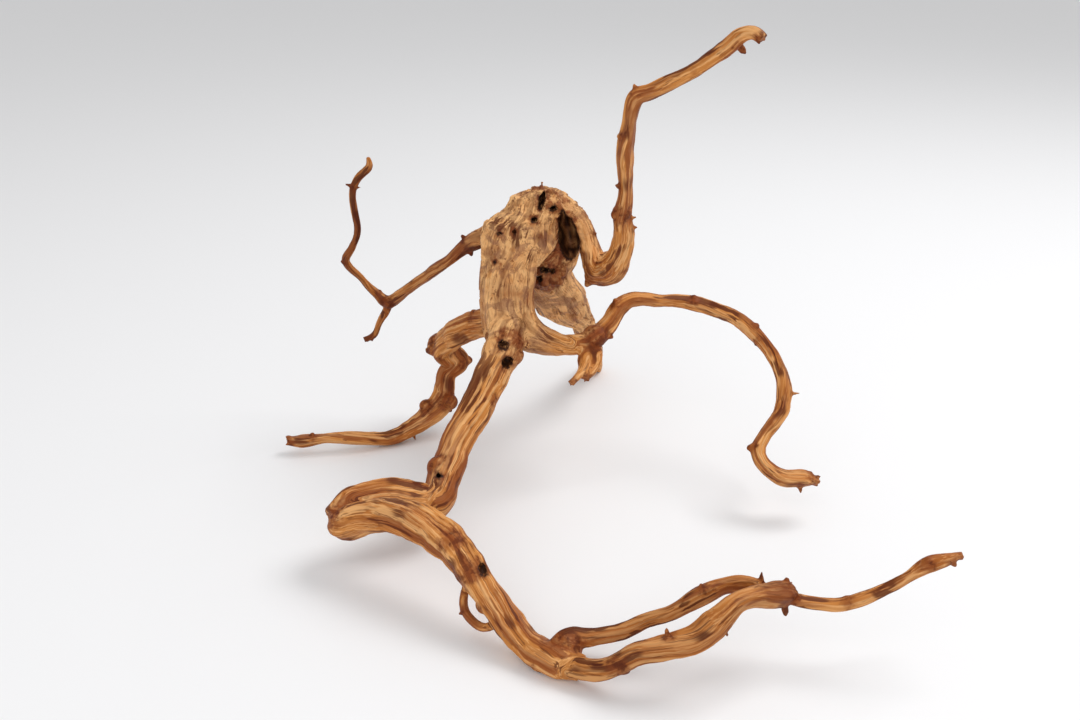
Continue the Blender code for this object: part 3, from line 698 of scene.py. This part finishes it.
# a guide is a bare line of edges that carries the half thickness at each of its points
def guideLines(name, lines, rootShare=1.0):
    mesh = bpy.data.meshes.new(name)
    points, edges, sizes = [], [], []
    for line in lines:
        for index, (x, y, z, size) in enumerate(line):
            if index:
                edges.append((len(points) - 1, len(points)))
            points.append(Vector((x, y, z)) * millimetre)
            sizes.append(size * millimetre * (1.0 if index else rootShare))
    mesh.from_pydata(points, edges, [])
    attribute = mesh.attributes.new("thickness", "FLOAT", "POINT")
    attribute.data.foreach_set("value", sizes)
    return newPiece(name, mesh)


# a place along a route, on a Catmull-Rom curve through its points
def routePoint(route, place):
    last = len(route) - 1
    index = min(int(place), last - 1)
    part = place - index
    before, start = Vector(route[max(index - 1, 0)]), Vector(route[index])
    end, after = Vector(route[index + 1]), Vector(route[min(index + 2, last)])
    bend = 2 * before - 5 * start + 4 * end - after
    cube = 3 * start - before - 3 * end + after
    return 0.5 * (2 * start + (end - before) * part + bend * part * part + cube * part ** 3)


# A nub starts inside its limb and thins to a tip: places in shares of the limb, widths in shares of the nub.
nubShape = {"foot": 0.3, "neck": 0.92, "reach": 1.3, "footWidth": 1.5, "tipWidth": 0.35}
# A splinter starts some millimetres inside a torn end. Long and short, thick and thin ones take turns.
splinterShape = {
    "perCount": 2, "ring": 0.35, "root": 2.5, "mean": 0.55, "swing": 0.45, "turn": 2.4, "shift": 0.3,
    "widths": (0.3, 0.42), "middle": 0.6, "middleWidth": 0.8, "tipWidth": 0.3,
}
crestShape = {"root": 3, "middleWidth": 0.8, "tipWidth": 0.3}


def nubLines(form):
    lines = []
    for place, direction, length, halfWidth in form.get("nubs", []):
        ring = routePoint(form["route"], place)
        outward = Vector(direction).normalized()
        foot = ring.xyz + outward * ring.w * nubShape["foot"]
        neck = ring.xyz + outward * ring.w * nubShape["neck"]
        tip = ring.xyz + outward * (ring.w + length * nubShape["reach"])
        lines.append([
            (*foot, halfWidth * nubShape["footWidth"]), (*neck, halfWidth),
            (*tip, halfWidth * nubShape["tipWidth"]),
        ])
    return lines


def splinterLines(form):
    count, length, spreadOut = form.get("splinters", (0, 0, 0))
    count *= splinterShape["perCount"]
    lines = []
    end, before = Vector(form["route"][-1]), Vector(form["route"][-2])
    forward = (end.xyz - before.xyz).normalized()
    side = forward.orthogonal().normalized()
    for index in range(count):
        angle = 2 * math.pi * (index + splinterShape["shift"]) / count
        around = Matrix.Rotation(angle, 3, forward) @ side
        direction = (forward + spreadOut * around).normalized()
        foot = end.xyz + around * before.w * splinterShape["ring"] - forward * splinterShape["root"]
        swing = splinterShape["swing"] * math.cos(splinterShape["turn"] * index)
        reach = length * (splinterShape["mean"] + swing) + splinterShape["root"]
        thick = before.w * splinterShape["widths"][index % 2]
        lines.append([
            (*foot, thick),
            (*(foot + direction * reach * splinterShape["middle"]), thick * splinterShape["middleWidth"]),
            (*(foot + direction * reach), thick * splinterShape["tipWidth"]),
        ])
    return lines


def crestLines():
    lines = []
    for x, y, z, direction, length, halfWidth in crestSpikes:
        foot, outward = Vector((x, y, z)), Vector(direction).normalized()
        lines.append([
            (*(foot - outward * crestShape["root"]), halfWidth),
            (*foot, halfWidth * crestShape["middleWidth"]),
            (*(foot + outward * length), halfWidth * crestShape["tipWidth"]),
        ])
    return lines


# A limb starts thinner where it is hidden in another one. Twists are given per this length.
hiddenStart = 0.6
twistLength = 100 * millimetre
coarseness = 1.0
limbSweep = {
    "Step": 0.0011 * coarseness, "Sides": 36, "Lump Depth": 0.11, "Lump Size": 0.019, "Sway": 0.0026,
    "Material": woodLook,
}
tornSweep = {
    "Step": 0.0006 * coarseness, "Sides": 12, "Flutes": 3.0, "Flute Depth": 0.12, "Twist": 0.0,
    "Start": 0.0, "Lump Depth": 0.25, "Lump Size": 0.003, "Sway": 0.0008, "Material": woodLook,
}
sweepTree = limbTree()
limbPieces, tornPieces = [], []
nubs, splinters = [], []
for name, form in limbs.items():
    guide = guideLines(name + "Guide", [form["route"]], hiddenStart)
    mesh = meshFrom(guide, sweepTree, {
        **limbSweep, "Flutes": float(form["flutes"]), "Flute Depth": form["depth"],
        "Twist": math.radians(form["twist"]) / twistLength, "Start": form["start"] * millimetre,
        "Tone": form.get("tone", 0.0),
    })
    limbPieces.append(newPiece(name, mesh))
    drop(guide)
    nubs += nubLines(form)
    splinters += splinterLines(form)
for name, lines in (("nubs", nubs), ("splinters", splinters), ("crest", crestLines())):
    guide = guideLines(name + "Guide", lines)
    tornPieces.append(newPiece(name, meshFrom(guide, sweepTree, tornSweep)))
    drop(guide)
print("limbs are swept:", len(limbPieces), "pieces")


# the trunk

# The trunk is two masses: (x, y, z, half width, half depth, turn in degrees), in millimetres.
trunk = {
    "plate": [
        (-31, 28, 80, 12.0, 10.0, 0), (-32, 31, 90, 13.4, 10.5, 0), (-33, 33, 102, 13.6, 11.0, -4),
        (-33, 34, 112, 13.4, 11.5, -6), (-32, 35, 118, 14.0, 12.0, -2), (-29, 38, 125, 16.8, 12.2, 8),
        (-25, 40, 132, 20.5, 12.5, 16), (-23, 42, 140, 22.5, 13.0, 19), (-22, 42, 148, 21.5, 13.0, 19),
        (-16, 43, 155, 16.0, 11.0, 18), (-15, 43, 161, 14.0, 8.5, 14), (-12, 42, 166, 5.5, 4.5, 0),
    ],
    "lobe": [
        (16, 95, 58, 6.8, 8.0, 0), (15, 91, 64, 7.4, 8.5, 0), (13, 88, 68, 8.8, 9.5, 0),
        (7, 85, 73, 14.0, 12.0, 0), (2, 80, 79, 16.5, 13.5, 0), (-1, 76, 87, 17.2, 14.5, 0),
        (-5, 72, 95, 19.0, 16.0, 0), (-11, 67, 103, 19.6, 17.0, 0), (-14, 63, 111, 19.0, 17.0, 0),
        (-11, 61, 118, 20.0, 17.0, 0), (-7, 60, 130, 19.0, 17.0, 0), (-6, 58, 145, 18.0, 15.5, 0),
        (-7, 54, 156, 12.5, 11.0, 0), (-9, 49, 163, 7.0, 6.0, 0),
    ],
    "sides": 72, "flutes": 7, "fluteDepth": 0.035, "fluteTurn": 0.03, "grainTop": 170.0,
}

# lumps that stand out of the limbs: (x, y, z, half sizes along x, y, z)
knots = [
    (-31, 19, 84, 8, 7, 8), (-28, 17, 77, 6, 6, 6), (-66, -38, 36, 7, 6, 7),
    (-44, -121, 28, 7.5, 7.5, 6.5), (-2, -152, 9, 8, 7, 7), (92, -147, 34, 5.5, 5.5, 5),
    (18, 28, 84, 7, 6.5, 6.5), (-75, 84, 55, 8.5, 8.5, 8), (-105, 83, 84, 4, 5, 4),
    (31, 25, 157, 5.5, 5.5, 5), (-109, -78, 28, 9, 9, 9), (-9, 50, 113, 9.5, 6.5, 8.5),
    (18, 37, 117, 6, 5.5, 5), (-9, 51, 127, 10, 9, 11), (-14, 45, 117, 3, 3, 3.5),
    (-10, 45, 110, 3.5, 3, 2.5), (-3, 46, 110, 3.5, 3, 2.5), (0, 48, 116, 2.5, 3, 3.5),
    (-6, 46, 121, 4, 3, 2), (-70, 71, 22, 5.5, 5, 5), (-84, 70, 20, 4.5, 4.5, 4),
]

# hollows are cut in: (x, y, z, half sizes along x, y, z, lean in degrees)
hollows = [
    (3, 45, 137, 6, 17, 16, -11), (-10, 43, 118, 2.8, 6, 1.8, 0), (-6, 43, 117, 1.4, 6, 1.4, 0),
    (-13, 44, 113, 1.6, 6, 2.2, 0), (-12, 35, 161, 1.6, 8, 4.5, 15), (-6, 36, 156, 2, 7, 1.6, 0),
    (-16, 29, 151, 1.8, 7, 1.2, 0), (-35, 24, 144, 2.2, 6, 0.9, 15), (-27, 25, 145, 1.1, 6, 1, 0),
    (-38, 22, 128, 1.2, 6, 0.8, 0), (0, 36, 150, 1.8, 8, 5, -11), (-33, 10, 86, 2.8, 6, 2.2, 0),
    (-31, 7, 77, 3.4, 6, 3.4, 0), (-65, -46, 37, 2, 5, 1.8, 0), (-39, -127, 33, 1.4, 5, 2.4, -30),
]


def trunkMass(name, sections):
    build = bmesh.new()
    grain = build.verts.layers.float_vector.new("grain")
    rings = []
    sides = trunk["sides"]
    for x, y, z, halfWidth, halfDepth, turn in sections:
        ring = []
        for side in range(sides):
            angle = 2 * math.pi * side / sides
            reach = 1 + trunk["fluteDepth"] * math.cos(trunk["flutes"] * angle + trunk["fluteTurn"] * z)
            offset = Vector((halfWidth * math.cos(angle), halfDepth * math.sin(angle), 0)) * reach
            offset.rotate(Matrix.Rotation(math.radians(turn), 3, "Z"))
            vertex = build.verts.new((Vector((x, y, z)) + offset) * millimetre)
            vertex[grain] = Vector((offset.x, offset.y, trunk["grainTop"] - z)) * millimetre
            ring.append(vertex)
        rings.append(ring)
    for lower, upper in zip(rings, rings[1:]):
        for side in range(sides):
            after = (side + 1) % sides
            build.faces.new((lower[side], lower[after], upper[after], upper[side]))
    build.faces.new(list(reversed(rings[0])))
    build.faces.new(rings[-1])
    return builtPiece(name, build)


ballDetail = 3


def ball(name, centre, halfSizes, lean=0.0):
    build = bmesh.new()
    bmesh.ops.create_icosphere(build, subdivisions=ballDetail, radius=1)
    shape = Matrix.Diagonal((*[size * millimetre for size in halfSizes], 1))
    place = Matrix.Translation(Vector(centre) * millimetre) @ Matrix.Rotation(math.radians(lean), 4, "Y")
    bmesh.ops.transform(build, matrix=place @ shape, verts=build.verts)
    return builtPiece(name, build)


masses = [trunkMass(name, trunk[name]) for name in ("plate", "lobe")]
trunkForm = joinedCopy("trunkForm", masses)
limbForm = joinedCopy("limbForm", limbPieces + masses)
balls = [ball("knot", (x, y, z), sizes) for x, y, z, *sizes in knots]
knotForm = joinedCopy("knotForm", balls)
tornForm = joinedCopy("tornForm", tornPieces)
body = joined("body", limbPieces + tornPieces + masses + balls)
pits = [ball("pit", (x, y, z), sizes, lean) for x, y, z, *sizes, lean in hollows]
hollowForm = joinedCopy("hollowForm", pits)
print("trunk and knots are joined")


# one skin over all of it, so that the limbs flow into each other

# Cell and relief sizes in millimetres. The stretches say how much slower the relief changes along the grain,
# and the looks are the detail, roughness and distortion of the noise.
skin = {
    "cell": 0.62, "smoothing": 0.5, "passes": 2, "triangles": 188000,
    "ridgeDepth": 0.62, "ridgeWidth": 5.2, "ridgeStretch": 0.07, "ridgeLook": (2.0, 0.5, 0.3),
    "fibreDepth": 0.13, "fibreWidth": 1.5, "fibreStretch": 0.04, "fibreLook": (1.0,),
    "pitDepth": 1.2, "pitSize": 4.5, "pitLook": (3.0, 0.6), "pitEdge": (0.56, 0.72), "fibreCrest": 0.5,
    "noiseRange": (0.25, 0.75), "thinToThick": (0.0015, 0.008, 0.3, 1.15), "crestRange": (0.45, 1.05),
}

# What is near what, in metres: how far the weathered wood reaches past the trunk, how far the grain is calmed
# round a knot, and for each form (reach, unevenness) of its knotty surroundings or of the painted shade round
# the hollows. Blurs are in passes.
near = {
    "trunk": (0.001, 0.020), "meeting": (0.001, 0.008), "grainBlur": 22, "meetingBlur": 70, "toneBlur": 40,
    "ragged": (420.0, 3.0, 0.65), "deepestHollowShade": 0.92, "dark": (0.0006, 0.0035),
    "knotty": {
        "Knot Form": (0.0030, 0.012), "Torn Form": (0.0022, 0.008), "Hollow Form": (0.0022, 0.012),
    },
}


def grownSkin(thing, cutters):
    remesh = thing.modifiers.new("skin", "REMESH")
    remesh.mode = "VOXEL"
    remesh.voxel_size = skin["cell"] * millimetre * coarseness
    skinned = newPiece("skinned", bakedMesh(thing))
    tools = bpy.data.collections.new("tools")
    for cutter in cutters:
        bpy.context.scene.collection.objects.unlink(cutter)
        tools.objects.link(cutter)
    bpy.context.scene.collection.children.link(tools)
    cut = skinned.modifiers.new("hollows", "BOOLEAN")
    cut.operation = "DIFFERENCE"
    cut.solver = "MANIFOLD"
    cut.operand_type = "COLLECTION"
    cut.collection = tools
    smooth = skinned.modifiers.new("smooth", "SMOOTH")
    smooth.factor = skin["smoothing"]
    smooth.iterations = skin["passes"]
    skinned.data = bakedMesh(skinned)
    return skinned


# relief that runs with the grain: broad ridges, fine fibres, and crumbled pits on the old trunk
def reliefTree():
    number, vector = "NodeSocketFloat", "FLOAT_VECTOR"
    forms = ("Grain Form", "Trunk Form", "Hollow Form", "Knot Form", "Torn Form")
    tree, given, result = newShapeTree("woodRelief", [
        *[(form, "NodeSocketObject", None) for form in forms],
        ("Ridge Depth", number, 0.0006), ("Ridge Width", number, 0.0035), ("Fibre Depth", number, 0.0002),
        ("Fibre Width", number, 0.001), ("Pit Depth", number, 0.0005), ("Pit Size", number, 0.003),
    ])
    source = shapeOf(tree, given["Grain Form"])
    place = put(tree, "GeometryNodeInputPosition").outputs[0]

    def carriedOver(name, kind="FLOAT"):
        feeds = {"Mesh": source, "Value": named(tree, name, kind), "Sample Position": place}
        return put(tree, "GeometryNodeSampleNearestSurface", feeds, data_type=kind).outputs["Value"]

    soft = blurred(tree, carriedOver("grain", vector), near["grainBlur"], vector)
    softer = blurred(tree, soft, near["meetingBlur"], vector)
    meeting = spread(tree, distanceTo(tree, given["Knot Form"]), *near["meeting"], 1.0, 0.0, "SMOOTHSTEP")
    grain = put(tree, "ShaderNodeMix", {"Factor": meeting, 4: soft, 5: softer}, data_type="VECTOR").outputs[1]
    tone = blurred(tree, carriedOver("tone"), near["toneBlur"])
    weathered = spread(tree, distanceTo(tree, given["Trunk Form"]), *near["trunk"], 1.0, 0.0, "SMOOTHSTEP")
    ragged = calc(tree, "SUBTRACT", noiseAt(tree, place, *near["ragged"]), 0.5)

    def nearTo(form, reach, unevenness):
        uneven = calc(tree, "MULTIPLY_ADD", ragged, unevenness, distanceTo(tree, given[form]))
        return spread(tree, uneven, reach, 0.0, style="SMOOTHSTEP")

    # painted shade: the nearer a place is to a cut hollow, the more it is painted black
    dark = product(tree, nearTo("Hollow Form", *near["dark"]), near["deepestHollowShade"])
    knotty = 0.0
    for form, (reach, unevenness) in near["knotty"].items():
        knotty = calc(tree, "MAXIMUM", knotty, nearTo(form, reach, unevenness))
    kept = store(tree, given["Geometry"], "grain", grain, vector)
    for name, value in (("weathered", weathered), ("dark", dark), ("knotty", knotty), ("tone", tone)):
        kept = store(tree, kept, name, value)

    written, old = named(tree, "grain", vector), named(tree, "weathered")

    def grainNoise(width, stretch, *look):
        stretched = vectorCalc(tree, "MULTIPLY", written, (1.0, 1.0, stretch))
        return noiseAt(tree, stretched, calc(tree, "DIVIDE", 1.0, given[width]), *look)

    ridges = grainNoise("Ridge Width", skin["ridgeStretch"], *skin["ridgeLook"])
    fibres = grainNoise("Fibre Width", skin["fibreStretch"], *skin["fibreLook"])
    ridgeHeight = product(tree, spread(tree, ridges, *skin["noiseRange"], -1.0, 1.0), given["Ridge Depth"])
    fibreHeight = spread(tree, fibres, *skin["noiseRange"], -1.0, 1.0)
    height = calc(tree, "MULTIPLY_ADD", fibreHeight, given["Fibre Depth"], ridgeHeight)
    flat = vectorCalc(tree, "MULTIPLY", written, (1.0, 1.0, 0.0))
    radius = vectorCalc(tree, "DISTANCE", flat, (0.0, 0.0, 0.0))
    height = product(tree, height, spread(tree, radius, *skin["thinToThick"]))
    crumbs = noiseAt(tree, place, calc(tree, "DIVIDE", 1.0, given["Pit Size"]), *skin["pitLook"])
    crumbs = calc(tree, "ADD", crumbs, crownwards(tree, place, crown["pits"]))
    sunk = product(tree, spread(tree, crumbs, *skin["pitEdge"]), old, given["Pit Depth"])
    height = calc(tree, "SUBTRACT", height, sunk)
    # the height of ridges and fibres, from which the wood paints a highlight on the ridges and shade in the
    # furrows
    crest = spread(tree, calc(tree, "MULTIPLY_ADD", fibres, skin["fibreCrest"], ridges), *skin["crestRange"])
    kept = store(tree, kept, "crest", crest)
    normal = put(tree, "GeometryNodeInputNormal").outputs[0]
    feeds = {"Geometry": kept, "Offset": vectorCalc(tree, "SCALE", normal, height)}
    return finishShape(tree, put(tree, "GeometryNodeSetPosition", feeds).outputs[0], given, result)


skinned = grownSkin(body, pits)
print("skin has", len(skinned.data.polygons), "faces")
relief = meshFrom(skinned, reliefTree(), {
    "Grain Form": limbForm, "Trunk Form": trunkForm, "Hollow Form": hollowForm, "Knot Form": knotForm,
    "Torn Form": tornForm, "Ridge Depth": skin["ridgeDepth"] * millimetre,
    "Ridge Width": skin["ridgeWidth"] * millimetre, "Fibre Depth": skin["fibreDepth"] * millimetre,
    "Fibre Width": skin["fibreWidth"] * millimetre, "Pit Depth": skin["pitDepth"] * millimetre,
    "Pit Size": skin["pitSize"] * millimetre, "Material": woodLook,
})
root = newPiece("spiderwoodRoot", relief)
relief.calc_loop_triangles()
if len(relief.loop_triangles) > skin["triangles"]:
    fewer = root.modifiers.new("fewer", "DECIMATE")
    fewer.ratio = skin["triangles"] / len(relief.loop_triangles)
    fewer.use_collapse_triangulate = True
    root.data = bakedMesh(root)
    root.data.name = "spiderwoodRoot"
print("root has", len(root.data.polygons), "faces after thinning")


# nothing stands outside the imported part's box
def keepInBox(mesh):
    places = np.empty(len(mesh.vertices) * 3, np.float32)
    mesh.vertices.foreach_get("co", places)
    inside = np.clip(places.reshape(-1, 3), np.array(cadBox[0]), np.array(cadBox[1]))
    mesh.vertices.foreach_set("co", inside.astype(np.float32).ravel())
    mesh.update()


keepInBox(root.data)
root.data.shade_smooth()
drop(skinned, body, limbForm, trunkForm, hollowForm, knotForm, tornForm, *pits)
print("root is finished")

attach(root, "root")
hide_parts("spiderwood_root")
